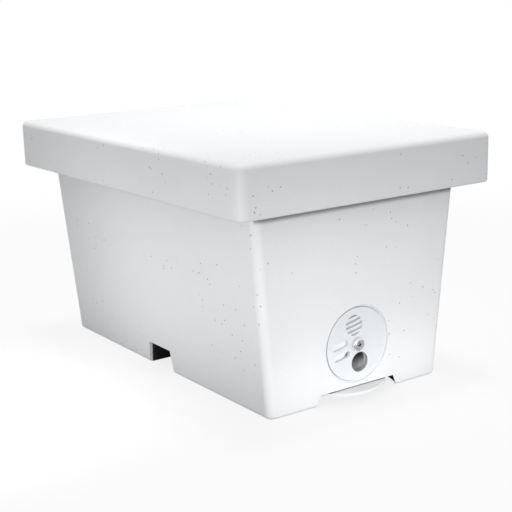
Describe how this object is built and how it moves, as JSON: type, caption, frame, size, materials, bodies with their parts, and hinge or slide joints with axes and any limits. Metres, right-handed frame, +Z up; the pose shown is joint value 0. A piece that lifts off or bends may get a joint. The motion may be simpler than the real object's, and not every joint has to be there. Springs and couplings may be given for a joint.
{
  "type": "nuc box",
  "caption": "Small white foam mating nuc box with leaning walls, lift-off lid, round turning entrance disc, disc under the floor, wooden top bars, hanging feeder trough and clear cover sheet.",
  "frame": {"origin": "centre of the ground plane under the box", "axes": "+Z up, -Y towards the front wall with the entrance disc, +X to the right seen from the front"},
  "size_m": [0.1798, 0.26, 0.1465],
  "materials": {
    "foam": "moulded bead foam, matte",
    "disc_plastic": "moulded, satin",
    "feeder_plastic": "moulded, satin",
    "post_plastic": "moulded, satin",
    "steel": "zinc plated, bright",
    "lime_wood": "planed, bare",
    "clear_film": "clear film, glossy"
  },
  "bodies": {
    "box": {"body_shell": "foam", "entrance_screw": "steel", "entrance_post": "post_plastic", "floor_screw": "steel", "floor_post": "post_plastic", "top_bar_1": "lime_wood", "top_bar_2": "lime_wood", "top_bar_3": "lime_wood", "top_bar_4": "lime_wood", "feeder_trough": "feeder_plastic", "feeder_excluder": "disc_plastic", "cover_sheet": "clear_film"},
    "lid": {"lid": "foam"},
    "entrance_disc": {"entrance_disc": "disc_plastic"},
    "floor_disc": {"floor_disc": "disc_plastic"}
  },
  "joints": [
    {"name": "lid_lift", "type": "slide", "parent": "box", "child": "lid", "axis": [0, 0, 1], "range_m": [0, 0.2]},
    {"name": "entrance_disc_turn", "type": "hinge", "parent": "box", "child": "entrance_disc", "pos_m": [0, -0.11483, 0.03179], "axis": [0, -0.9997, -0.0262], "continuous": true},
    {"name": "floor_disc_turn", "type": "hinge", "parent": "box", "child": "floor_disc", "pos_m": [0, -0.093, 0.0058], "axis": [0, 0, 1], "continuous": true}
  ]
}
